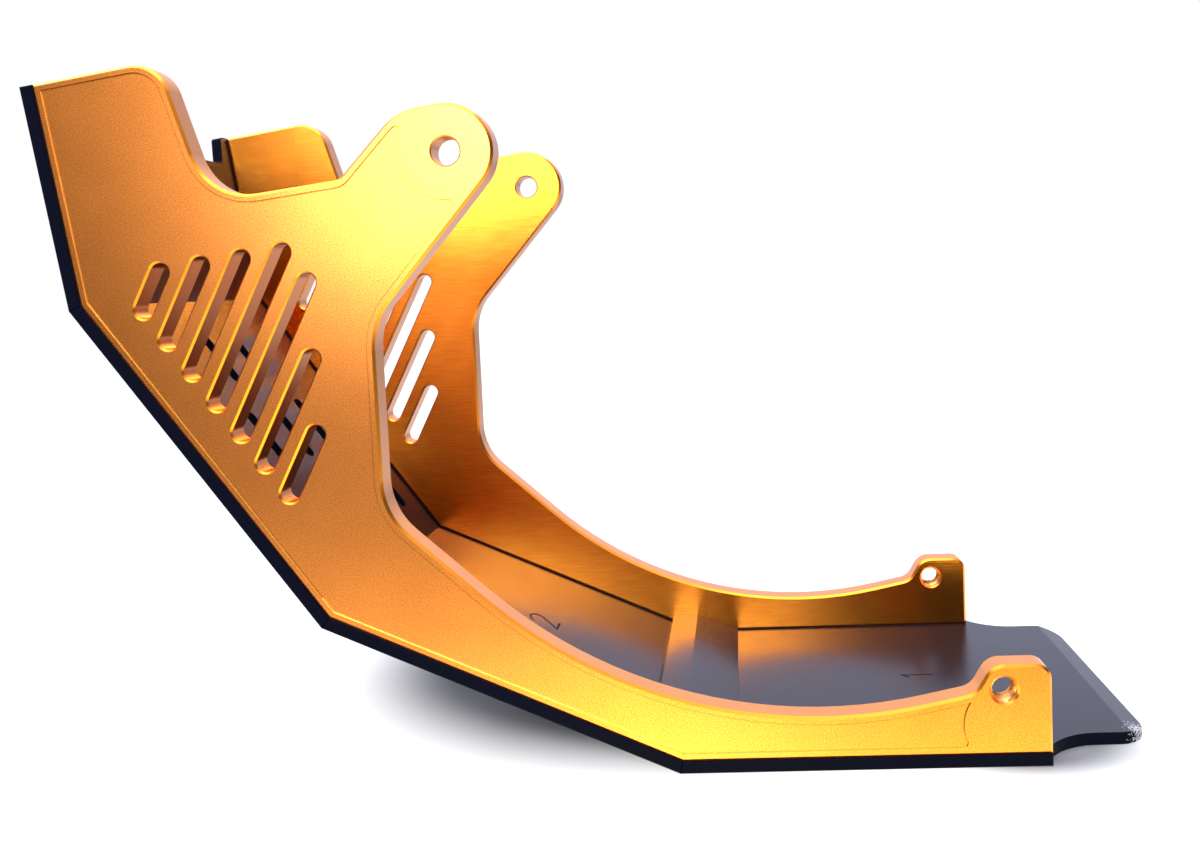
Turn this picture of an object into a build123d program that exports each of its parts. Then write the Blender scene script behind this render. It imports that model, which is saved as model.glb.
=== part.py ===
from build123d import *
import os
from math import cos, dist, radians, sin, tan

# Millimetres and degrees. X runs to the rear, Y across to the right-hand side, Z up. The origin is on the mid-plane,
# under the fold between the floor and the ramp, level with the underside of the floor plate.

# Overall sizes
WIDTH = 145.2
SIDE_THICK = 10.0
SHELL_THICK = 5.0

# The bent line on which the four shell plates meet the edges of the two side plates, angles above the horizontal
FLOOR_LENGTH = 141.9
RAMP_LENGTH = 148.0
RAMP_ANGLE = 24.05
VENT_PLATE_LENGTH = 152.8
VENT_PLATE_ANGLE = 54.5
FRONT_LENGTH = 85.2
FRONT_ANGLE = 81.8

# The free edge of the side plates, as places back from the fold and up from the floor's upper surface
TOP_CORNER_X = -187.2
TOP_CORNER_RADIUS = 13.5
NOTCH_FRONT = (-171.2, 222.5)
NOTCH_FRONT_RADIUS = 22.0
NOTCH_ANGLE = 6.9
NOTCH_REAR_X = -120.9
NOTCH_REAR_RADIUS = 5.0
HORN_ANGLE = 46.6
HORN_RADIUS = 22.0
UPPER_HOLE = (-79.7, 237.5)
UPPER_LUG_RADIUS = 18.0
UPPER_LUG_TOP_ANGLE = 8.5
UPPER_LUG_BACK_ANGLE = 49.1
WAIST_X = -111.0
WAIST_RADIUS = 28.0
SWEEP_START = (-99.5, 89.9)
SWEEP_ANGLE = 42.3
SWEEP_RADIUS = 193.0
RIB_END = (99.5, 21.2)
RIB_END_ANGLE = 11.5
FILLET_SPACING = 1.0

# The rear lug, as places forward from the floor plate's rear edge and up from its upper surface
REAR_HOLE = (18.0, 25.2)
REAR_LUG_FRONT = (25.5, 29.9)
REAR_LUG_FRONT_ANGLE = 59.0
REAR_LUG_HEIGHT = 35.0
REAR_LUG_BLEND = 8.0
REAR_LUG_CORNER_RADIUS = 6.0
REAR_PAD_CENTRE = (17.3, 11.7)
REAR_PAD_RADIUS = 16.2
REAR_PAD_LENGTH = 27.9

# The side plates' holes, edge breaks and outer pocket
EDGE_BREAK = 1.0
UPPER_BORE_RADIUS = 5.5
UPPER_BORE_BREAK = 0.5
REAR_BORE_RADIUS = 5.0
REAR_BORE_BREAK = 0.75
POCKET_INSET = 2.8
POCKET_DEPTH = 0.5
POCKET_CUSP_RADIUS = 2.0

# The seven leaning slots of each side plate
SLOT_COUNT = 7
SLOT_WIDTH = 7.4
SLOT_BREAK = 0.7
SLOT_PITCH = 13.25
SLOT_LEAN = 63.0
FIRST_SLOT = (-192.2, 196.9)
SLOT_TO_NOTCH = 23.4
SLOT_TO_WAIST = 25.0
SLOT_TO_VENT_PLATE = 18.5

# The shell plates
SHELL_BREAK = 0.4
EAR_WIDTH = 15.7
EAR_HEIGHT = 14.4
EAR_SLANT = 13.0
EAR_CORNER_RADIUS = 2.5
EAR_ROOT_RADIUS = 3.5
VENT_WIDTH = 6.3
VENT_LENGTH = 30.0
VENT_COLUMN_PITCH = 11.1
VENT_ROWS = ((30.2, (-1, 1)), (75.2, (-2, 0, 2)), (118.5, (-4, -2, 0, 2, 4)))

# The lip on top of the floor plate, which laps onto the ramp plate
LIP_REACH = 14.6
LIP_NOSE = 3.0
LIP_FLAT_END_X = 0.5
LIP_TAIL_X = 21.6
LIP_TAIL_HEIGHT = 0.8
LIP_SIDE_CLEARANCE = 0.1

# The tongue behind the floor plate
TONGUE_LENGTH = 43.9
TONGUE_INSET = 15.6
TONGUE_ROOT_RADIUS = 28.0
TONGUE_ROOT_LENGTH = 22.1
TONGUE_CORNER_RADIUS = 12.0
TONGUE_BEVEL_LENGTH = 8.4
TONGUE_BEVEL_DEPTH = 2.2

# The countersunk socket screws that hold the shell plates, evenly spaced between the margins at the plates' ends
SCREW_RADIUS = 2.0
SCREW_LENGTH = 14.0
HEAD_RADIUS = 4.0
SOCKET_ACROSS_FLATS = 2.5
SOCKET_DEPTH = 1.5
THREAD_CLEARANCE = 0.05
PLATE_HOLE_CLEARANCE = 0.25
HEAD_CLEARANCE = 0.1
TAPPED_DEPTH = 11.0
SCREW_MARGIN = 18.0
FRONT_SCREWS = 2
VENT_PLATE_SCREWS = 3
RAMP_SCREWS = 3
FLOOR_SCREWS = 3

HALF_WIDTH = WIDTH / 2
HEAD_SINK = HEAD_CLEARANCE
INNER_HALF_WIDTH = HALF_WIDTH - SIDE_THICK
SCREW_Y = HALF_WIDTH - SIDE_THICK / 2
SIDES = (("left", -1), ("right", 1))
NEAR = 0.001


def raised(place):
    """A place given up from the floor's upper surface, as x and z."""
    return (place[0], place[1] + SHELL_THICK)


def from_rear(place):
    """A place given forward from the floor's rear edge and up from its upper surface, as x and z."""
    return raised((FLOOR_LENGTH - place[0], place[1]))


def along(start, angle, distance):
    """The point at a distance from another, at an angle from +X."""
    return (start[0] + distance * cos(radians(angle)), start[1] + distance * sin(radians(angle)))


def beside(line, distance):
    """The parallel line at a distance to the left of a line."""
    return (along(line[0], line[1] + 90, distance), line[1])


def meet(first, second):
    """The point where two lines cross, each a point and an angle."""
    (x1, z1), angle1 = first
    (x2, z2), angle2 = second
    across = (x2 - x1) * sin(radians(angle2)) - (z2 - z1) * cos(radians(angle2))
    return along(first[0], angle1, across / sin(radians(angle2 - angle1)))


def between(start, end, share):
    """The point part of the way from one point to another."""
    return (start[0] + share * (end[0] - start[0]), start[1] + share * (end[1] - start[1]))


# The bent line, from the fold at the origin forward and up
FOLD = raised((0.0, 0.0))
LOW_BEND = along(FOLD, 180 - RAMP_ANGLE, RAMP_LENGTH)
HIGH_BEND = along(LOW_BEND, 180 - VENT_PLATE_ANGLE, VENT_PLATE_LENGTH)
FRONT_TOP = along(HIGH_BEND, 180 - FRONT_ANGLE, FRONT_LENGTH)
FLOOR_REAR = along(FOLD, 0, FLOOR_LENGTH)

# Its four straight stretches, each running down or to the rear with the outside of the shell to its right
FRONT_LINE = (FRONT_TOP, -FRONT_ANGLE)
VENT_LINE = (HIGH_BEND, -VENT_PLATE_ANGLE)
RAMP_LINE = (LOW_BEND, -RAMP_ANGLE)
FLOOR_LINE = (FOLD, 0.0)

# The stretches of the side plates' free edge
TOP_LINE = (FRONT_TOP, 90 - FRONT_ANGLE)
TOP_CORNER = meet(TOP_LINE, ((TOP_CORNER_X, 0.0), 90.0))
NOTCH_LINE = (raised(NOTCH_FRONT), NOTCH_ANGLE)
NOTCH_REAR = meet(NOTCH_LINE, ((NOTCH_REAR_X, 0.0), 90.0))
HORN_LINE = (NOTCH_REAR, HORN_ANGLE)
LUG_TOP_LINE = beside((raised(UPPER_HOLE), UPPER_LUG_TOP_ANGLE), UPPER_LUG_RADIUS)
LUG_BACK_LINE = beside((raised(UPPER_HOLE), UPPER_LUG_BACK_ANGLE), -UPPER_LUG_RADIUS)
WAIST_LINE = ((WAIST_X, 0.0), 90.0)
SWEEP_LINE = (raised(SWEEP_START), -SWEEP_ANGLE)
RIB_LINE = (raised(RIB_END), RIB_END_ANGLE)
REAR_LUG_FRONT_LINE = (from_rear(REAR_LUG_FRONT), REAR_LUG_FRONT_ANGLE)
REAR_LUG_TOP_LINE = (raised((0.0, REAR_LUG_HEIGHT)), 0.0)
REAR_LINE = (FLOOR_REAR, 90.0)

# The sweep's radius, limited by the length of the rib's edge
RIB_START = meet(SWEEP_LINE, RIB_LINE)
RIB_STOP = meet(RIB_LINE, REAR_LUG_FRONT_LINE)
LUG_BLEND_REACH = REAR_LUG_BLEND * tan(radians((REAR_LUG_FRONT_ANGLE - RIB_END_ANGLE) / 2))
RIB_ROOM = dist(RIB_START, RIB_STOP) - LUG_BLEND_REACH - FILLET_SPACING
SWEEP_FILLET = min(SWEEP_RADIUS, RIB_ROOM / tan(radians((SWEEP_ANGLE + RIB_END_ANGLE) / 2)))

BORES = (
    (raised(UPPER_HOLE), UPPER_BORE_RADIUS, UPPER_BORE_BREAK),
    (from_rear(REAR_HOLE), REAR_BORE_RADIUS, REAR_BORE_BREAK),
)

# Every corner of a side plate and its radius, round from the front top
CORNERS = (
    (FRONT_TOP, 0.0),
    (TOP_CORNER, TOP_CORNER_RADIUS),
    (raised(NOTCH_FRONT), NOTCH_FRONT_RADIUS),
    (NOTCH_REAR, NOTCH_REAR_RADIUS),
    (meet(HORN_LINE, LUG_TOP_LINE), HORN_RADIUS),
    (meet(LUG_TOP_LINE, LUG_BACK_LINE), UPPER_LUG_RADIUS),
    (meet(LUG_BACK_LINE, WAIST_LINE), WAIST_RADIUS),
    (meet(WAIST_LINE, SWEEP_LINE), WAIST_RADIUS),
    (RIB_START, SWEEP_FILLET),
    (RIB_STOP, REAR_LUG_BLEND),
    (meet(REAR_LUG_FRONT_LINE, REAR_LUG_TOP_LINE), REAR_LUG_BLEND),
    (meet(REAR_LUG_TOP_LINE, REAR_LINE), REAR_LUG_CORNER_RADIUS),
    (FLOOR_REAR, 0.0),
    (FOLD, 0.0),
    (LOW_BEND, 0.0),
    (HIGH_BEND, 0.0),
)


SCREW_ROWS = {
    "front": (FRONT_LINE, FRONT_LENGTH, FRONT_SCREWS),
    "vent": (VENT_LINE, VENT_PLATE_LENGTH, VENT_PLATE_SCREWS),
    "ramp": (RAMP_LINE, RAMP_LENGTH, RAMP_SCREWS),
    "floor": (FLOOR_LINE, FLOOR_LENGTH, FLOOR_SCREWS),
}


def slot_ends():
    """The centres of the end arcs of each slot, bottom and top."""
    first_line = (raised(FIRST_SLOT), SLOT_LEAN)
    under_notch = beside(NOTCH_LINE, -SLOT_TO_NOTCH)
    before_waist = beside(WAIST_LINE, SLOT_TO_WAIST)
    over_vent_plate = beside(VENT_LINE, SLOT_TO_VENT_PLATE)
    for index in range(SLOT_COUNT):
        line = beside(first_line, -SLOT_PITCH * index)
        top = min(meet(line, under_notch), meet(line, before_waist), key=lambda point: point[1])
        yield meet(line, over_vent_plate), top


def skin(line):
    """The plane on the outside of a shell plate, its sketch axes Y and the way down the line."""
    (x, z), angle = beside(line, -SHELL_THICK)
    return Plane(origin=(x, 0, z), x_dir=(0, 1, 0), z_dir=(sin(radians(angle)), 0, -cos(radians(angle))))


def screw_planes(row, sides=(-1, 1)):
    """The planes of a row of screws, facing out of the shell, front to rear and side by side."""
    line, length, count = SCREW_ROWS[row]
    spacing = (length - 2 * SCREW_MARGIN) / (count - 1)
    places = [SCREW_MARGIN + spacing * index for index in range(count)]
    return [Plane(skin(line) * Location((side * SCREW_Y, place))) for side in sides for place in places]


def vertices_on_circle(sketch, centre, radius):
    """The corners of a sketch that lie on a circle."""
    return sketch.vertices().filter_by(lambda vertex: abs(abs(vertex.center() - Vector(*centre)) - radius) < NEAR)


def save(solid, name):
    """Label a finished piece and write its file."""
    solid.label = name
    export_step(solid, f"parts/{name}.step")


# The side plates' outline and the shallow pocket in their outer faces, drawn with Z as the sketch's Y
with BuildSketch() as outline:
    with BuildLine():
        Polyline(*(corner for corner, radius in CORNERS), close=True)
    make_face()
    for corner, radius in CORNERS:
        if radius:
            fillet(outline.vertices().sort_by_distance(corner)[0], radius)

with BuildSketch() as pocket:
    add(outline.sketch)
    offset(amount=-POCKET_INSET, mode=Mode.REPLACE)
    with Locations(raised(UPPER_HOLE)):
        Circle(UPPER_LUG_RADIUS, mode=Mode.SUBTRACT)
    with Locations(from_rear(REAR_PAD_CENTRE)):
        Circle(REAR_PAD_RADIUS, mode=Mode.SUBTRACT)
    with Locations(FLOOR_REAR):
        Rectangle(REAR_PAD_LENGTH, REAR_LUG_HEIGHT, align=(Align.MAX, Align.MIN), mode=Mode.SUBTRACT)
    fillet(vertices_on_circle(pocket, raised(UPPER_HOLE), UPPER_LUG_RADIUS), POCKET_CUSP_RADIUS)
    rear_cusps = vertices_on_circle(pocket, from_rear(REAR_PAD_CENTRE), REAR_PAD_RADIUS)
    fillet(rear_cusps.sort_by(Axis.Y)[0], POCKET_CUSP_RADIUS)


def side_plate(side):
    """One of the two side plates, the pocket in its outer face."""
    outward = -side
    inner_plane = Plane.XZ.offset(outward * INNER_HALF_WIDTH)
    pocket_plane = Plane.XZ.offset(outward * (HALF_WIDTH - POCKET_DEPTH))
    with BuildPart() as plate:
        with BuildSketch(inner_plane):
            add(outline.sketch)
        extrude(amount=outward * SIDE_THICK)
        chamfer(plate.faces().filter_by(Axis.Y).edges(), EDGE_BREAK)
        with BuildSketch(pocket_plane):
            add(pocket.sketch)
        extrude(amount=outward * POCKET_DEPTH, mode=Mode.SUBTRACT)
        with BuildSketch(inner_plane):
            for bottom, top in slot_ends():
                SlotCenterPoint(between(bottom, top, 0.5), top, SLOT_WIDTH)
        extrude(amount=outward * SIDE_THICK, mode=Mode.SUBTRACT)
        chamfer(plate.edges(Select.LAST).filter_by(Axis.Y, reverse=True), SLOT_BREAK)
        for place, radius, edge_break in BORES:
            with BuildSketch(inner_plane):
                with Locations(place):
                    Circle(radius)
            extrude(amount=outward * SIDE_THICK, mode=Mode.SUBTRACT)
            chamfer(plate.edges(Select.LAST).filter_by(Axis.Y, reverse=True), edge_break)
        for row in SCREW_ROWS:
            with Locations(*(plane.offset(-SHELL_THICK) for plane in screw_planes(row, (side,)))):
                Hole(SCREW_RADIUS + THREAD_CLEARANCE, TAPPED_DEPTH)
    return plate.part


def shell_blank(row, start, end):
    """A shell plate between two mitres, each an inner and an outer corner, with the countersunk holes of its screws."""
    with BuildPart() as blank:
        with BuildSketch(Plane.XZ):
            with BuildLine():
                Polyline(start[0], end[0], end[1], start[1], close=True)
            make_face()
        extrude(amount=HALF_WIDTH, both=True)
        chamfer(blank.faces().filter_by(Axis.Y).edges(), SHELL_BREAK)
        with Locations(*screw_planes(row)):
            CounterSinkHole(SCREW_RADIUS + PLATE_HOLE_CLEARANCE, HEAD_RADIUS + HEAD_CLEARANCE, counter_sink_angle=90)
    return blank.part


def screw(plane):
    """A countersunk socket screw, its head just below a plane that faces out of the shell."""
    head_top = plane.offset(-HEAD_SINK)
    with BuildPart() as body:
        with BuildSketch(head_top):
            Circle(HEAD_RADIUS)
        extrude(amount=-(HEAD_RADIUS - SCREW_RADIUS), taper=45)
        with BuildSketch(head_top):
            Circle(SCREW_RADIUS)
        extrude(amount=-SCREW_LENGTH)
        with BuildSketch(head_top):
            RegularPolygon(SOCKET_ACROSS_FLATS / 2, 6, major_radius=False)
        extrude(amount=-SOCKET_DEPTH, mode=Mode.SUBTRACT)
    return body.part


# The inner and outer corner of each end and mitre of the shell
FRONT_EDGE = (FRONT_TOP, beside(FRONT_LINE, -SHELL_THICK)[0])
HIGH_MITRE = (HIGH_BEND, meet(beside(FRONT_LINE, -SHELL_THICK), beside(VENT_LINE, -SHELL_THICK)))
LOW_MITRE = (LOW_BEND, meet(beside(VENT_LINE, -SHELL_THICK), beside(RAMP_LINE, -SHELL_THICK)))
FOLD_MITRE = (FOLD, meet(beside(RAMP_LINE, -SHELL_THICK), beside(FLOOR_LINE, -SHELL_THICK)))
REAR_EDGE = (FLOOR_REAR, along(FLOOR_REAR, -90, SHELL_THICK))

front_blank = shell_blank("front", FRONT_EDGE, HIGH_MITRE)
vent_blank = shell_blank("vent", HIGH_MITRE, LOW_MITRE)
ramp_plate = shell_blank("ramp", LOW_MITRE, FOLD_MITRE)
floor_blank = shell_blank("floor", FOLD_MITRE, REAR_EDGE)

# The front plate, with a recess in its top edge between two ears
with BuildPart() as front_plate:
    add(front_blank)
    with BuildSketch(skin(FRONT_LINE)):
        recess_top = HALF_WIDTH - EAR_WIDTH
        recess_bottom = recess_top - EAR_HEIGHT * tan(radians(EAR_SLANT))
        with BuildLine():
            Polyline(
                (recess_top, 0.0),
                (-recess_top, 0.0),
                (-recess_bottom, EAR_HEIGHT),
                (recess_bottom, EAR_HEIGHT),
                close=True,
            )
        make_face()
    extrude(amount=-SHELL_THICK, mode=Mode.SUBTRACT)
    through = Axis((0, 0, 0), skin(FRONT_LINE).z_dir)
    down = Axis((0, 0, 0), skin(FRONT_LINE).y_dir)
    recess_corners = front_plate.edges(Select.LAST).filter_by(through).group_by(down)
    fillet(recess_corners[-1], EAR_ROOT_RADIUS)
    ear_corners = front_plate.edges().filter_by(through).group_by(down)[0]
    fillet(ear_corners.sort_by(Axis.Y)[1:-1], EAR_CORNER_RADIUS)

# The steep plate, with rows of cooling slots
with BuildPart() as vent_plate:
    add(vent_blank)
    with BuildSketch(skin(VENT_LINE)):
        for row_centre, columns in VENT_ROWS:
            with Locations(*((column * VENT_COLUMN_PITCH, row_centre) for column in columns)):
                SlotOverall(VENT_LENGTH, VENT_WIDTH, rotation=90)
    extrude(amount=-SHELL_THICK, mode=Mode.SUBTRACT)

# The floor plate, with the lip that laps onto the ramp plate and the tongue behind
with BuildPart() as floor_plate:
    add(floor_blank)
    with BuildSketch(Plane.XZ):
        with BuildLine():
            heel = along(FOLD, 180 - RAMP_ANGLE, LIP_REACH)
            nose = along(heel, 90 - RAMP_ANGLE, LIP_NOSE)
            Polyline(
                FOLD,
                heel,
                nose,
                (LIP_FLAT_END_X, nose[1]),
                raised((LIP_TAIL_X, LIP_TAIL_HEIGHT)),
                raised((LIP_TAIL_X, 0.0)),
                close=True,
            )
        make_face()
    extrude(amount=INNER_HALF_WIDTH - LIP_SIDE_CLEARANCE, both=True)
    with BuildSketch() as tongue:
        with Locations((FLOOR_LENGTH, 0.0)):
            Rectangle(TONGUE_ROOT_LENGTH, WIDTH, align=(Align.MIN, Align.CENTER))
        hollow_y = HALF_WIDTH - TONGUE_INSET + TONGUE_ROOT_RADIUS
        hollow_x = FLOOR_LENGTH + TONGUE_ROOT_LENGTH
        with Locations((hollow_x, hollow_y), (hollow_x, -hollow_y)):
            Circle(TONGUE_ROOT_RADIUS, mode=Mode.SUBTRACT)
        with Locations((FLOOR_LENGTH, 0.0)):
            Rectangle(TONGUE_LENGTH, WIDTH - 2 * TONGUE_INSET, align=(Align.MIN, Align.CENTER))
        fillet(tongue.vertices().group_by(Axis.X)[-1], TONGUE_CORNER_RADIUS)
    extrude(amount=SHELL_THICK)
    with BuildSketch(Plane.XZ):
        with BuildLine():
            tongue_end = along(FLOOR_REAR, 0, TONGUE_LENGTH)
            bevel_start = along(tongue_end, 180, TONGUE_BEVEL_LENGTH)
            bevel_end = along(tongue_end, -90, TONGUE_BEVEL_DEPTH)
            Polyline(bevel_start, tongue_end, bevel_end, close=True)
        make_face()
    extrude(amount=HALF_WIDTH, both=True, mode=Mode.SUBTRACT)

os.makedirs("parts", exist_ok=True)
for side_name, side in SIDES:
    save(side_plate(side), f"side_plate_{side_name}")
save(front_plate.part, "front_plate")
save(vent_plate.part, "vent_plate")
save(ramp_plate, "ramp_plate")
save(floor_plate.part, "floor_plate")
for row in SCREW_ROWS:
    for side_name, side in SIDES:
        for number, plane in enumerate(screw_planes(row, (side,)), start=1):
            save(screw(plane), f"screw_{row}_{side_name}_{number}")
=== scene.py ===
import math
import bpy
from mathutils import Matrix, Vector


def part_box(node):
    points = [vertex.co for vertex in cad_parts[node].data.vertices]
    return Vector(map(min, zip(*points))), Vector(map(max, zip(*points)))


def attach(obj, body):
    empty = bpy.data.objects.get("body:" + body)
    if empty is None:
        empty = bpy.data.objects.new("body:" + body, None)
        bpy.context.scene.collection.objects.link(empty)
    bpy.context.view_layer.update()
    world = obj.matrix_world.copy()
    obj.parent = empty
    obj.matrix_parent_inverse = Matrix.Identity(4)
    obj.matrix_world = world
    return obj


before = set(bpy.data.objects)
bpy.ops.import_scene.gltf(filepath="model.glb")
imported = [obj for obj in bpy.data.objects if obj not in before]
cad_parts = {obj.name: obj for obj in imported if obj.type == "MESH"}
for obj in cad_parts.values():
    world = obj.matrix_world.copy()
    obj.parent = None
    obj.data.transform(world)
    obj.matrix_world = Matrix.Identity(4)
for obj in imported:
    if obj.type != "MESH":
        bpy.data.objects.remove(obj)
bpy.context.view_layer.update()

from types import SimpleNamespace

import bpy
from mathutils import Euler, Vector

MM = 0.001

# The camera of the photograph, fitted to the plates' edges
IMAGE_WIDTH = 1200
FOCAL_PIXELS = 930.0
SENSOR_WIDTH = 36.0
PRINCIPAL_POINT_SHIFT = (-0.08975, -0.0765)
CAMERA_PLACE = (0.02744, -0.42117, 0.18992)
CAMERA_TURN = (86.5982, 2.2113, 1.7521)
CAMERA_CLIP = (0.01, 100.0)

# Places and angles of the frame
LEFT_LOW, LEFT_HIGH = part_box("side_plate_left")
OUTER_FACE_Y = -LEFT_LOW.y
INNER_FACE_Y = -LEFT_HIGH.y
FLOOR_TOP = 5 * MM
TONGUE_END_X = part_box("floor_plate")[1].x
RAMP_ANGLE = math.radians(24.05)
REAR_HOLE_X = 123.9 * MM
REAR_HOLE_Z = 30.2 * MM

# A noise is its scale, detail and roughness, and a fade is two places and the values there, or else 0 and 1.
# A colour is its linear red, green and blue, and an alpha of 1.
WHITE = (1.0, 1.0, 1.0, 1)
MIDDLE_OF_NOISE = (0.2, 0.8)

# Gold plates: which faces are which, by their normal's share along y and their distance from the middle
FLAT_NORMAL = 0.95
BROKEN_EDGE_NORMAL = 0.3
OUTER_FACE_MARGIN = 1.0 * MM
POCKET_WALL_DEPTH = 0.6 * MM

# Gold plates: blasted outside, brushed inside
GRAIN_NOISE = (1900.0, 3.0, 0.65)
GRAIN_FADE = (0.35, 0.65)
BLASTED_DARK = (0.78, 0.20, 0.037, 1)
BLASTED_PALE = (1.0, 0.375, 0.078, 1)
BLASTED_REAR_SHARES = (1.0, 0.96, 0.62)
BLASTED_REAR_FADE = (0.0, 0.1)
STREAK_STRETCH = (70.0, 1.0, 1200.0)
STREAK_NOISE = (1.0, 3.0, 0.6)
STREAK_FADE = (0.25, 0.75)
BRUSHED_DARK = (0.90, 0.25, 0.026, 1)
BRUSHED_PALE = (1.0, 0.36, 0.038, 1)
BRUSHED_REAR_SHARE = 0.82
BRUSHED_REAR_FADE = (0.0, 0.04)
DYE_NOISE = (55.0, 3.0, 0.5)
DYE_SHARES = (0.95, 1.03)

# Gold plates: milled walls, darker when upright and paler when level, a painted shade and painted light by
# which way they face, and broken edges
WALL_UPRIGHT_PAINTED_SHADE = (0.51, 0.21, 0.075, 1)
WALL_LEVEL_PAINTED_LIGHT = (0.92, 0.36, 0.10, 1)
WALL_FADE = (0.2, 0.7)
BROKEN_EDGE = (1.0, 0.33, 0.03, 1)

# Gold plates: the pocket's wall, a painted highlight where it faces up or towards the rear and painted shade
# elsewhere, and the fine line at its foot, painted shade found by ambient occlusion, which is a painted
# highlight along the ramp plate
POCKET_PAINTED_SHADE = (0.18, 0.08, 0.01, 1)
POCKET_PAINTED_HIGHLIGHT = (1.0, 0.80, 0.25, 1)
POCKET_LINE_PAINTED_HIGHLIGHT = (1.0, 0.62, 0.16, 1)
POCKET_LINE_REACH = 0.9 * MM
POCKET_LINE_SAMPLES = 6
POCKET_LINE_FADE = (0.6, 0.97, 1.0, 0.0)
POCKET_LINE_FRONT_FADE = (-0.23, -0.19, 0.35, 1.0)
POCKET_LINE_LOW_FADE = (0.008, 0.016, 0.4, 1.0)
PAINTED_HIGHLIGHT_HEIGHT = 6.5 * MM

# Gold plates: roughness of each kind of face, and the relief of grain and brushing
OUTER_ROUGHNESS = 0.285
WALL_ROUGHNESS = 0.3
POCKET_WALL_ROUGHNESS = 0.35
INNER_ROUGHNESS_UP = (0.17, 0.22, 0.25, 0.33)
INNER_ROUGHNESS_REAR = (-0.01, 0.06, 0.04, -0.07)
INNER_ROUGHNESS_FRONT = (-0.22, -0.15, -0.12, 0.0)
GRAIN_RELIEF = 0.5
STREAK_RELIEF = 1.1
RELIEF_STRENGTH = 0.3
RELIEF_HEIGHT = 0.1 * MM

# Black plates: satin faces, duller milled edges, and bare metal at the tongue's corner
BLACK_DYE = (0.005, 0.005, 0.010, 1)
BLACK_GLOSS = 0.53
BLACK_NOISE = (30.0, 4.0, 0.6)
BLACK_ROUGHNESS_FADE = (0.25, 0.8, 0.24, 0.28)
BLACK_EDGE = (0.0015, 0.002, 0.006, 1)
BLACK_EDGE_GLOSS = 0.02
BLACK_EDGE_ROUGHNESS = 0.45
BLACK_EDGE_NORMAL = 0.2
WORN_CORNER = (TONGUE_END_X - 3 * MM, -53 * MM, 2 * MM)
WORN_REACH = 8 * MM
WORN_CORNER_FADE = (2 * MM, WORN_REACH, 0.16, 0.0)
SCUFF_NOISE = (900.0, 3.0, 0.7)
SCUFF_FADE = (0.6, 0.66)
WORN_FACE = (0.45, 0.46, 0.48, 1)
WORN_EDGE = (0.35, 0.36, 0.38, 1)

# Screws, threads and the filling of the engraved numbers
SCREW_BLACK = (0.02, 0.02, 0.022, 1)
SCREW_METALLIC = 0.6
SCREW_NOISE = (900.0, 3.0, 0.6)
SCREW_ROUGHNESS = (0.32, 0.5)
BORE_GOLD = (0.72, 0.44, 0.17, 1)
BORE_NOISE = (800.0, 2.0, 0.5)
BORE_ROUGHNESS = (0.2, 0.35)
MARK_BLACK = (0.002, 0.002, 0.003, 1)
MARK_GLOSS = 0.1
MARK_NOISE = (1200.0, 2.0, 0.5)
MARK_ROUGHNESS = (0.5, 0.7)

# The engraved numbers, their strokes in heights of a digit
MARK_HEIGHT = 14.0 * MM
MARK_STROKE = 0.9 * MM
MARK_PROUD = 0.03 * MM
MITRE_LIMIT = 0.4
ONE_PATH = [(-0.2, 0.8), (0.0, 1.0), (0.0, 0.0)]
ONE_PLACE = (111.3 * MM, 0.9 * MM, FLOOR_TOP)
TWO_BOWL_RADIUS = 0.25
TWO_BOWL_ANGLES = range(165, -45, -15)
TWO_FOOT = [(-0.25, 0.0), (0.26, 0.0)]
TWO_UP_RAMP = 67.0 * MM
TWO_ACROSS = 1.0 * MM

# The thread of the rear holes
THREAD_CENTRE_Y = (OUTER_FACE_Y + INNER_FACE_Y) / 2
THREAD_LENGTH = 7.2 * MM
THREAD_PITCH = 1.5 * MM
THREAD_ROOT = 5.01 * MM
THREAD_CREST = 4.4 * MM
THREAD_WIDTH = 0.86 * THREAD_PITCH
THREAD_SEGMENTS = 40

# The floor, white to the camera by its glow except in a painted shadow round the object and by the tongue;
# there its dimmed colour shows, with the lamps' real shadow in it
FLOOR_SIZE = 40.0
FLOOR_DROP = 0.2 * MM
FLOOR_ROUGHNESS = 0.9
FLOOR_PALE = (0.9, 0.9, 0.9, 1)
# Painted shade: reflections see the floor darken far in front of the object
FLOOR_FAR_PAINTED_SHADE = (0.08, 0.08, 0.08, 1)
FLOOR_UNDER_PAINTED_SHADOW = (0.21, 0.21, 0.225, 1)
PAINTED_SHADOW_STRETCH = (1.0, 1.4, 1.0)
PAINTED_SHADOW_CENTRE = (0.0, 0.07, 0.0)
PAINTED_SHADOW_FADE = (0.124, 0.19)
TONGUE_PAINTED_SHADOW_STRETCH = (1.0, 1.8, 1.0)
TONGUE_PAINTED_SHADOW_CENTRE = (0.14, -0.1, 0.0)
TONGUE_PAINTED_SHADOW_FADE = (0.022, 0.055)
BEHIND_FADE = (0.04, 0.07)

# The painted pool of light, a glow on the floor in front of the object that only glossy rays see, which the
# gold reflects
PATCH_START = 0.08
PATCH_FALL = 0.168
PAINTED_POOL_TINT = (1.0, 1.0, 0.14, 1)
PATCH_UNDER_FADE = (-0.075, -0.05, 1.0, 0.0)
PATCH_CENTRE_X = -0.02
PATCH_MIDDLE_FADE = (0.0, 0.13, 2.45, 0.8)
PATCH_SIDE_FADE = (0.14, 0.38, 1.0, 0.2)

# The room, dark behind the camera and white behind and above the object
ROOM_DARK = (0.09, 0.09, 0.09, 1)
ROOM_WHITE = (1.05, 1.08, 1.4, 1)
ROOM_BACK_TURN = 0.4
ROOM_BACK_FADE = (-0.25, 0.2)
ROOM_ABOVE_FADE = (0.4, 0.75)
ROOM_DIFFUSE_FADE = (0.0, 0.55, 0.25, 0.8)


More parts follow.
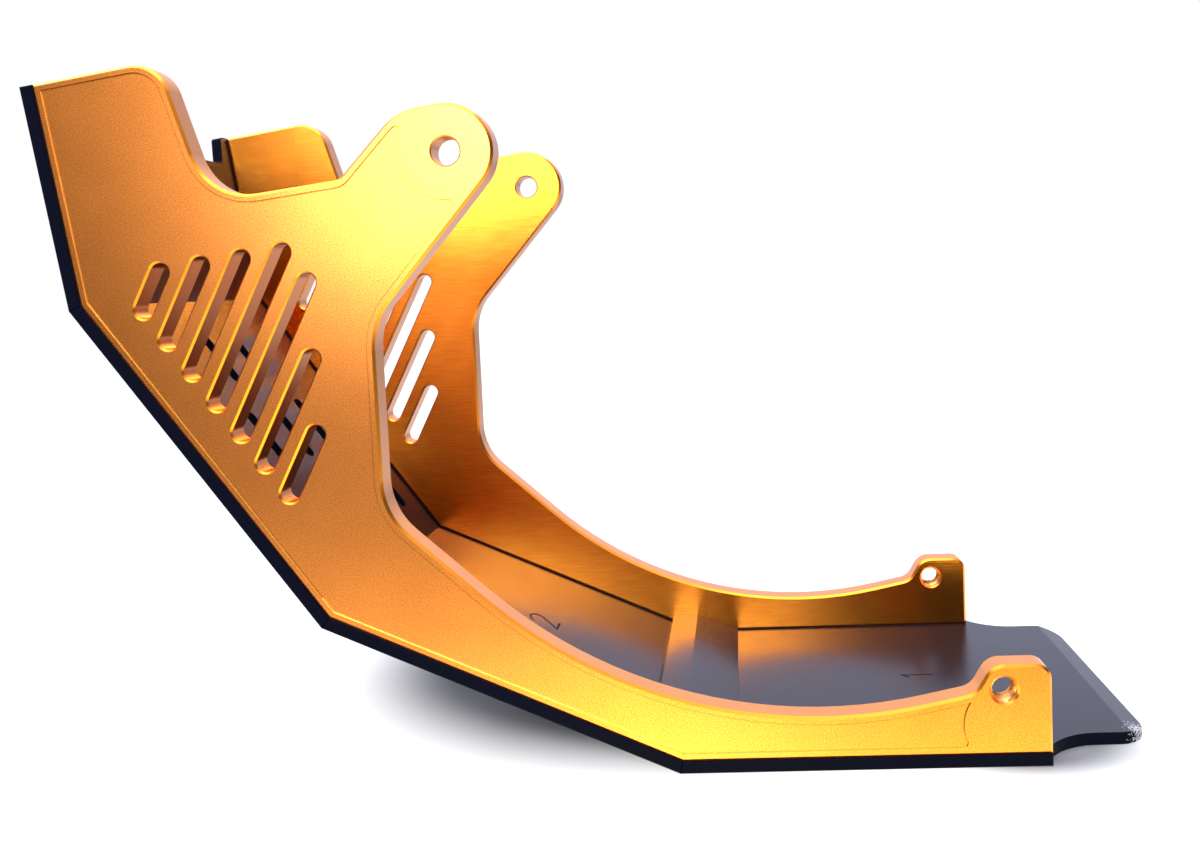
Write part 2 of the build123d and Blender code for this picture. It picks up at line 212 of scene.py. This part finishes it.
class Nodes:
    """A node tree with short calls for adding and joining nodes."""

    def __init__(self, tree):
        self.tree = tree
        tree.nodes.clear()

    def add(self, kind, settings=None, **inputs):
        """A node with its settings, and its inputs by name, or by number as i0, i1 and so on.

        An input is a value or another node's output.
        """
        made = self.tree.nodes.new(kind)
        for key, value in (settings or {}).items():
            setattr(made, key, value)
        for key, value in inputs.items():
            numbered = key[0] == "i" and key[1:].isdigit()
            socket = made.inputs[int(key[1:]) if numbered else key.replace("_", " ")]
            if isinstance(value, bpy.types.NodeSocket):
                self.tree.links.new(value, socket)
            else:
                socket.default_value = value
        return made

    def work_out(self, operation, first, second=0.0):
        node = self.add("ShaderNodeMath", {"operation": operation}, i0=first, i1=second)
        return node.outputs[0]

    def plus(self, first, second):
        return self.work_out("ADD", first, second)

    def minus(self, first, second):
        return self.work_out("SUBTRACT", first, second)

    def times(self, first, second):
        return self.work_out("MULTIPLY", first, second)

    def larger(self, first, second):
        return self.work_out("MAXIMUM", first, second)

    def over(self, value, limit):
        """1 where a value is over its limit, and 0 elsewhere."""
        return self.work_out("GREATER_THAN", value, limit)

    def under(self, value, limit):
        """1 where a value is under its limit, and 0 elsewhere."""
        return self.work_out("LESS_THAN", value, limit)

    def size(self, value):
        return self.work_out("ABSOLUTE", value)

    def fade(self, value, low, high, start=0.0, end=1.0):
        """A smooth step, from the start value at the low place to the end value at the high one."""
        settings = {"interpolation_type": "SMOOTHSTEP"}
        node = self.add("ShaderNodeMapRange", settings, i0=value, i1=low, i2=high, i3=start, i4=end)
        return node.outputs[0]

    def mix(self, share, first, second):
        node = self.add("ShaderNodeMix", {"data_type": "RGBA"}, i0=share, i6=first, i7=second)
        return node.outputs[2]

    def noise(self, where, scale, detail, rough):
        node = self.add("ShaderNodeTexNoise", Vector=where, Scale=scale, Detail=detail, Roughness=rough)
        return node.outputs["Fac"]

    def split(self, vector):
        """The x, y and z of a vector."""
        return self.add("ShaderNodeSeparateXYZ", Vector=vector).outputs[:]

    def stretched(self, vector, factors):
        """A vector or colour multiplied axis by axis."""
        node = self.add("ShaderNodeVectorMath", {"operation": "MULTIPLY"}, i0=vector, i1=factors)
        return node.outputs["Vector"]

    def scaled(self, vector, share):
        node = self.add("ShaderNodeVectorMath", {"operation": "SCALE"}, i0=vector, i3=share)
        return node.outputs["Vector"]

    def distance(self, where, centre):
        node = self.add("ShaderNodeVectorMath", {"operation": "DISTANCE"}, i0=where, i1=centre)
        return node.outputs["Value"]


def new_material(name):
    material = bpy.data.materials.new(name)
    material.use_nodes = True
    return material, Nodes(material.node_tree)


def finish_material(material, nodes, **inputs):
    shader = nodes.add("ShaderNodeBsdfPrincipled", **inputs)
    nodes.add("ShaderNodeOutputMaterial", Surface=shader.outputs[0])
    return material


def gold_faces(nodes):
    """The coordinates of a gold plate, and a mask, 1 or 0, for each kind of face."""
    coordinates = nodes.add("ShaderNodeTexCoord")
    plate = SimpleNamespace(where=coordinates.outputs["Object"])
    plate.x, y, plate.z = nodes.split(plate.where)
    plate.normal_x, normal_y, plate.normal_z = nodes.split(coordinates.outputs["Normal"])
    from_middle = nodes.size(y)
    across = nodes.size(normal_y)
    plate.flat = nodes.over(across, FLAT_NORMAL)
    plate.outer = nodes.times(plate.flat, nodes.over(from_middle, OUTER_FACE_Y - OUTER_FACE_MARGIN))
    plate.inner = nodes.minus(plate.flat, plate.outer)
    plate.broken_edge = nodes.minus(nodes.over(across, BROKEN_EDGE_NORMAL), plate.flat)
    wall = nodes.under(across, BROKEN_EDGE_NORMAL)
    plate.pocket_wall = nodes.times(wall, nodes.over(from_middle, OUTER_FACE_Y - POCKET_WALL_DEPTH))
    return plate


def gold_face_colour(nodes, plate, grain, streak):
    """Blasted gold outside and brushed gold inside, both a little deeper towards the rear."""
    blasted = nodes.mix(nodes.fade(grain, *GRAIN_FADE), BLASTED_DARK, BLASTED_PALE)
    deeper = nodes.stretched(blasted, BLASTED_REAR_SHARES)
    blasted = nodes.mix(nodes.fade(plate.x, *BLASTED_REAR_FADE), blasted, deeper)
    brushed = nodes.mix(nodes.fade(streak, *STREAK_FADE), BRUSHED_DARK, BRUSHED_PALE)
    darker = nodes.scaled(brushed, BRUSHED_REAR_SHARE)
    brushed = nodes.mix(nodes.fade(plate.x, *BRUSHED_REAR_FADE), brushed, darker)
    return nodes.mix(plate.inner, blasted, brushed)


def pocket_painted_line(nodes, plate):
    """How much of the painted shade line at the pocket's foot shows, found by ambient occlusion, and the
    line's colour: painted shade, or a painted highlight low along the ramp plate.
    """
    settings = {"only_local": True, "samples": POCKET_LINE_SAMPLES}
    openness = nodes.add("ShaderNodeAmbientOcclusion", settings, Distance=POCKET_LINE_REACH).outputs["AO"]
    line = nodes.times(nodes.fade(openness, *POCKET_LINE_FADE), plate.outer)
    line = nodes.times(line, nodes.fade(plate.x, *POCKET_LINE_FRONT_FADE))
    line = nodes.times(line, nodes.fade(plate.z, *POCKET_LINE_LOW_FADE))
    along = nodes.times(plate.x, math.sin(RAMP_ANGLE))
    up = nodes.times(nodes.minus(plate.z, FLOOR_TOP), math.cos(RAMP_ANGLE))
    over_ramp = nodes.plus(along, up)
    # Painted highlight: the line is pale low on the ramp plate
    lit = nodes.times(nodes.under(over_ramp, PAINTED_HIGHLIGHT_HEIGHT), nodes.under(plate.x, 0.0))
    return line, nodes.mix(lit, POCKET_PAINTED_SHADE, POCKET_LINE_PAINTED_HIGHLIGHT)


# The gold plates' colour, with painted light on the milled walls and the pocket
def gold_colour_and_painted_light(nodes, plate, grain, streak):
    # Painted light on the milled walls: paler where they face up, darker where upright
    wall = nodes.mix(nodes.fade(plate.normal_z, *WALL_FADE), WALL_UPRIGHT_PAINTED_SHADE, WALL_LEVEL_PAINTED_LIGHT)
    colour = nodes.mix(plate.flat, wall, gold_face_colour(nodes, plate, grain, streak))
    colour = nodes.mix(plate.broken_edge, colour, BROKEN_EDGE)
    # The pocket's wall: a painted highlight where it faces up or towards the rear, painted shade elsewhere
    facing_up = nodes.over(nodes.plus(plate.normal_x, plate.normal_z), 0.0)
    colour = nodes.mix(plate.pocket_wall, colour, nodes.mix(facing_up, POCKET_PAINTED_SHADE, POCKET_PAINTED_HIGHLIGHT))
    line, line_colour = pocket_painted_line(nodes, plate)
    colour = nodes.mix(line, colour, line_colour)
    dye = nodes.noise(plate.where, *DYE_NOISE)
    return nodes.scaled(colour, nodes.fade(dye, *MIDDLE_OF_NOISE, *DYE_SHARES))


def gold_roughness(nodes, plate):
    inner = nodes.plus(nodes.fade(plate.z, *INNER_ROUGHNESS_UP), nodes.fade(plate.x, *INNER_ROUGHNESS_REAR))
    inner = nodes.plus(inner, nodes.fade(plate.x, *INNER_ROUGHNESS_FRONT))
    rough = nodes.plus(nodes.times(plate.outer, OUTER_ROUGHNESS), nodes.times(plate.inner, inner))
    rough = nodes.plus(rough, nodes.times(nodes.minus(1.0, plate.flat), WALL_ROUGHNESS))
    return nodes.plus(rough, nodes.times(plate.pocket_wall, POCKET_WALL_ROUGHNESS))


def gold_relief(nodes, plate, grain, streak):
    blasted = nodes.times(nodes.times(grain, plate.outer), GRAIN_RELIEF)
    brushed = nodes.times(nodes.times(streak, plate.inner), STREAK_RELIEF)
    height = nodes.plus(blasted, brushed)
    bump = nodes.add("ShaderNodeBump", Height=height, Strength=RELIEF_STRENGTH, Distance=RELIEF_HEIGHT)
    return bump.outputs[0]


def gold_with_painted_light():
    """Blasted outer faces, brushed inner faces, milled walls with painted shade and painted light, bright
    broken edges, and the pocket's painted shade and painted highlights, of a gold plate.
    """
    material, nodes = new_material("gold_finish_and_painted_light")
    plate = gold_faces(nodes)
    grain = nodes.noise(plate.where, *GRAIN_NOISE)
    streak = nodes.noise(nodes.stretched(plate.where, STREAK_STRETCH), *STREAK_NOISE)
    return finish_material(
        material, nodes, Metallic=1.0,
        Base_Color=gold_colour_and_painted_light(nodes, plate, grain, streak),
        Roughness=gold_roughness(nodes, plate),
        Normal=gold_relief(nodes, plate, grain, streak),
    )


def worn_share(nodes, where):
    """How much bare metal shows, in scuffs close round the tongue's corner."""
    from_corner = nodes.distance(where, WORN_CORNER)
    scuffs = nodes.noise(where, *SCUFF_NOISE)
    near = nodes.fade(from_corner, *WORN_CORNER_FADE)
    worn = nodes.fade(nodes.plus(scuffs, near), *SCUFF_FADE)
    return nodes.times(worn, nodes.under(from_corner, WORN_REACH))


def black_anodised():
    """Satin black plates with duller milled edges, and bare metal at the tongue's corner."""
    material, nodes = new_material("black_anodised_finish")
    coordinates = nodes.add("ShaderNodeTexCoord")
    where = coordinates.outputs["Object"]
    normal_y = nodes.split(coordinates.outputs["Normal"])[1]
    is_edge = nodes.over(nodes.size(normal_y), BLACK_EDGE_NORMAL)
    worn = worn_share(nodes, where)
    face = nodes.add(
        "ShaderNodeBsdfPrincipled",
        Base_Color=nodes.mix(worn, BLACK_DYE, WORN_FACE),
        Roughness=nodes.fade(nodes.noise(where, *BLACK_NOISE), *BLACK_ROUGHNESS_FADE),
        Specular_IOR_Level=BLACK_GLOSS,
    )
    edge = nodes.add(
        "ShaderNodeBsdfPrincipled",
        Base_Color=nodes.mix(worn, BLACK_EDGE, WORN_EDGE),
        Roughness=BLACK_EDGE_ROUGHNESS,
        Specular_IOR_Level=BLACK_EDGE_GLOSS,
    )
    mixed = nodes.add("ShaderNodeMixShader", i0=is_edge, i1=face.outputs[0], i2=edge.outputs[0])
    nodes.add("ShaderNodeOutputMaterial", Surface=mixed.outputs[0])
    return material


def mottled(name, noise, roughness, **inputs):
    """A material whose roughness varies finely from place to place."""
    material, nodes = new_material(name)
    where = nodes.add("ShaderNodeTexCoord").outputs["Object"]
    rough = nodes.fade(nodes.noise(where, *noise), *MIDDLE_OF_NOISE, *roughness)
    return finish_material(material, nodes, Roughness=rough, **inputs)


def screw_steel():
    look = {"Base_Color": SCREW_BLACK, "Metallic": SCREW_METALLIC}
    return mottled("screw_steel_finish", SCREW_NOISE, SCREW_ROUGHNESS, **look)


def bore_gold():
    look = {"Base_Color": BORE_GOLD, "Metallic": 1.0}
    return mottled("bore_gold_finish", BORE_NOISE, BORE_ROUGHNESS, **look)


def mark_black():
    look = {"Base_Color": MARK_BLACK, "Specular_IOR_Level": MARK_GLOSS}
    return mottled("engraved_mark", MARK_NOISE, MARK_ROUGHNESS, **look)


def dress(node_names, material):
    for name in node_names:
        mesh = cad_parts[name].data
        mesh.materials.clear()
        mesh.materials.append(material)


def dress_frame():
    names = sorted(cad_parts)
    dress([name for name in names if name.startswith("side_plate")], gold_with_painted_light())
    dress([name for name in names if name.endswith("_plate")], black_anodised())
    dress([name for name in names if name.startswith("screw_")], screw_steel())


def add_piece(name, points, faces, material):
    """A mesh piece of the part, riding on its one body."""
    mesh = bpy.data.meshes.new(name)
    mesh.from_pydata([tuple(point) for point in points], [], faces)
    mesh.validate()
    mesh.materials.append(material)
    piece = bpy.data.objects.new(name, mesh)
    bpy.context.scene.collection.objects.link(piece)
    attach(piece, "root")


def thread(name, side, material):
    """The turns of the thread in one rear hole: a fin inside its bore, three points across at each step."""
    steps = round(THREAD_LENGTH / THREAD_PITCH * THREAD_SEGMENTS)
    points, faces = [], []
    for step in range(steps + 1):
        angle = 2 * math.pi * step / THREAD_SEGMENTS
        middle = (step / steps - 0.5) * THREAD_LENGTH
        for radius, shift in ((THREAD_ROOT, -0.5), (THREAD_CREST, 0.0), (THREAD_ROOT, 0.5)):
            x = REAR_HOLE_X + radius * math.cos(angle)
            y = side * (THREAD_CENTRE_Y + middle + shift * THREAD_WIDTH)
            z = REAR_HOLE_Z + radius * math.sin(angle)
            points.append((x, y, z))
    for step in range(steps):
        here = 3 * step
        after = here + 3
        faces += [(here, after, after + 1, here + 1), (here + 1, after + 1, after + 2, here + 2)]
        faces += [(here + 2, after + 2, after, here)]
    faces += [(0, 1, 2), (after + 2, after + 1, after)]
    add_piece(name, points, faces, material)


def threads():
    gold = bore_gold()
    thread("thread_left", -1, gold)
    thread("thread_right", 1, gold)


def stroke_sides(path, width):
    """The two sides of a pen stroke along a path, with mitred corners."""
    sides = []
    for index, point in enumerate(path):
        before = (point - path[index - 1]).normalized() if index else None
        after = (path[index + 1] - point).normalized() if index + 1 < len(path) else None
        along = ((before or after) + (after or before)).normalized()
        across = Vector((-along.y, along.x))
        reach = across * width / 2 / max(along.dot(after or before), MITRE_LIMIT)
        sides.append((point + reach, point - reach))
    return sides


def engrave(name, path, origin, up, material):
    """A number filled with black, a few hundredths of a millimetre proud of the plate that carries it.

    Its strokes are closed bars, four points round at each bend.
    """
    right = Vector((0, 1, 0))
    normal = right.cross(up)
    sides = stroke_sides([Vector(place) * MARK_HEIGHT for place in path], MARK_STROKE)
    points = []
    for pair in sides:
        for place in pair:
            foot = origin + right * place.x + up * place.y
            points += [foot - normal * MARK_PROUD, foot + normal * MARK_PROUD]
    faces = []
    for index in range(len(sides) - 1):
        here = 4 * index
        after = here + 4
        faces += [(here + 1, here + 3, after + 3, after + 1), (here, after, after + 2, here + 2)]
        faces += [(here, here + 1, after + 1, after), (here + 2, after + 2, after + 3, here + 3)]
    faces += [(0, 2, 3, 1), (after, after + 1, after + 3, after + 2)]
    add_piece(name, points, faces, material)


def two_path():
    """The path of a figure two: its bowl, then its foot."""
    bowl = []
    for angle in TWO_BOWL_ANGLES:
        across = TWO_BOWL_RADIUS * math.cos(math.radians(angle))
        up = 1.0 - TWO_BOWL_RADIUS + TWO_BOWL_RADIUS * math.sin(math.radians(angle))
        bowl.append((across, up))
    return bowl + TWO_FOOT


def digits():
    """The plate-order numbers cut into the floor plate and the ramp plate."""
    black = mark_black()
    engrave("mark_one", ONE_PATH, Vector(ONE_PLACE), Vector((-1, 0, 0)), black)
    up_ramp = Vector((-math.cos(RAMP_ANGLE), 0, math.sin(RAMP_ANGLE)))
    two_place = Vector((0, TWO_ACROSS, FLOOR_TOP)) + up_ramp * TWO_UP_RAMP
    engrave("mark_two", two_path(), two_place, up_ramp, black)


def outside_painted_shadow(nodes, where, y):
    """1 where the camera sees the floor white, falling to 0 in a painted shadow: an ellipse round the object
    and one by the tongue, but not behind the object.
    """
    from_object = nodes.distance(nodes.stretched(where, PAINTED_SHADOW_STRETCH), PAINTED_SHADOW_CENTRE)
    from_tongue = nodes.distance(nodes.stretched(where, TONGUE_PAINTED_SHADOW_STRETCH), TONGUE_PAINTED_SHADOW_CENTRE)
    away = nodes.times(nodes.fade(from_object, *PAINTED_SHADOW_FADE), nodes.fade(from_tongue, *TONGUE_PAINTED_SHADOW_FADE))
    return nodes.larger(away, nodes.fade(y, *BEHIND_FADE))


def painted_light_pool(nodes, x, y, nearness):
    """The painted pool of light on the floor in front of the object, strongest close to it and before its
    middle.
    """
    glow = nodes.times(nearness, nodes.fade(y, *PATCH_UNDER_FADE))
    beside = nodes.size(nodes.minus(x, PATCH_CENTRE_X))
    glow = nodes.times(glow, nodes.fade(beside, *PATCH_MIDDLE_FADE))
    return nodes.times(glow, nodes.fade(beside, *PATCH_SIDE_FADE))


def floor_material_with_painted_light():
    """White to the camera outside a painted shadow, with painted shade far off and a painted pool of light
    in front of the object, both seen only in its reflections.
    """
    material, nodes = new_material("studio_floor_with_painted_light")
    ray = nodes.add("ShaderNodeLightPath").outputs
    where = nodes.add("ShaderNodeTexCoord").outputs["Object"]
    x, y, _ = nodes.split(where)
    in_front = nodes.larger(nodes.minus(nodes.times(y, -1.0), PATCH_START), 0.0)
    nearness = nodes.work_out("EXPONENT", nodes.work_out("DIVIDE", in_front, -PATCH_FALL))
    # Painted shadow: the camera's white glow is left out round the object and by the tongue
    seen_white = nodes.times(ray["Is Camera Ray"], outside_painted_shadow(nodes, where, y))
    white_glow = nodes.larger(seen_white, ray["Is Transmission Ray"])
    # Painted pool of light: a yellow-tinted glow that only glossy rays see
    painted_pool_glow = nodes.times(ray["Is Glossy Ray"], painted_light_pool(nodes, x, y, nearness))
    # Painted shade in reflections: glossy rays see the floor darker far in front
    far_off_painted_shade = nodes.times(ray["Is Glossy Ray"], nodes.minus(1.0, nearness))
    colour = nodes.mix(far_off_painted_shade, FLOOR_PALE, FLOOR_FAR_PAINTED_SHADE)
    return finish_material(
        material, nodes, Roughness=FLOOR_ROUGHNESS, Specular_IOR_Level=0.0,
        # The dimmed floor colour to the camera, which shows inside the painted shadow
        Base_Color=nodes.mix(ray["Is Camera Ray"], colour, FLOOR_UNDER_PAINTED_SHADOW),
        Emission_Color=nodes.mix(ray["Is Glossy Ray"], WHITE, PAINTED_POOL_TINT),
        Emission_Strength=nodes.plus(white_glow, painted_pool_glow),
    )


def studio_floor_with_painted_light():
    bpy.ops.mesh.primitive_plane_add(size=FLOOR_SIZE, location=(0, 0, -FLOOR_DROP))
    floor = bpy.context.object
    floor.name = "floor"
    floor.data.materials.append(floor_material_with_painted_light())


def studio_world():
    """A room that is white to the camera, and lights the object from behind and above."""
    world = bpy.data.worlds.new("studio")
    bpy.context.scene.world = world
    world.use_nodes = True
    nodes = Nodes(world.node_tree)
    ray = nodes.add("ShaderNodeLightPath").outputs
    x, y, z = nodes.split(nodes.add("ShaderNodeTexCoord").outputs["Generated"])
    backwards = nodes.minus(y, nodes.times(nodes.larger(x, 0.0), ROOM_BACK_TURN))
    level = nodes.larger(nodes.fade(backwards, *ROOM_BACK_FADE), nodes.fade(z, *ROOM_ABOVE_FADE))
    diffuse_loss = nodes.minus(nodes.fade(z, *ROOM_DIFFUSE_FADE), 1.0)
    strength = nodes.plus(nodes.times(ray["Is Diffuse Ray"], diffuse_loss), 1.0)
    room = nodes.add(
        "ShaderNodeBackground", Color=nodes.mix(level, ROOM_DARK, ROOM_WHITE), Strength=strength,
    ).outputs[0]
    white = nodes.add("ShaderNodeBackground", Color=WHITE, Strength=1.0).outputs[0]
    mixed = nodes.add("ShaderNodeMixShader", i0=ray["Is Camera Ray"], i1=room, i2=white)
    nodes.add("ShaderNodeOutputWorld", Surface=mixed.outputs[0])


def softbox(name, place, aim, size, watts):
    light = bpy.data.lights.new(name, "AREA")
    light.shape = "RECTANGLE"
    light.size, light.size_y = size
    light.energy = watts
    lamp = bpy.data.objects.new(name, light)
    bpy.context.scene.collection.objects.link(lamp)
    lamp.location = place
    lamp.rotation_euler = (Vector(aim) - Vector(place)).to_track_quat("-Z", "Y").to_euler()
    lamp.visible_camera = False


def lights():
    """Two softboxes in front, reflected in the near plate's upper half, and a wide one overhead."""
    softbox("key", place=(-0.257, -1.2, 0.687), aim=(-0.257, 0.0, 0.687), size=(0.754, 0.927), watts=19.4)
    softbox("high", place=(-0.15, -1.18, 0.88), aim=(-0.15, 0.0, 0.88), size=(0.5, 0.54), watts=12.0)
    softbox("top", place=(-0.6, -0.1, 1.6), aim=(-0.6, -0.1, 0.0), size=(2.2, 1.2), watts=27.4)


def camera():
    data = bpy.data.cameras.new("camera")
    data.sensor_width = SENSOR_WIDTH
    data.lens = FOCAL_PIXELS * SENSOR_WIDTH / IMAGE_WIDTH
    data.shift_x, data.shift_y = PRINCIPAL_POINT_SHIFT
    data.clip_start, data.clip_end = CAMERA_CLIP
    made = bpy.data.objects.new("camera", data)
    bpy.context.scene.collection.objects.link(made)
    made.location = CAMERA_PLACE
    made.rotation_euler = Euler([math.radians(angle) for angle in CAMERA_TURN], "XYZ")
    bpy.context.scene.camera = made


camera()
dress_frame()
threads()
digits()
studio_floor_with_painted_light()
studio_world()
lights()
bpy.context.scene.view_settings.view_transform = "Standard"
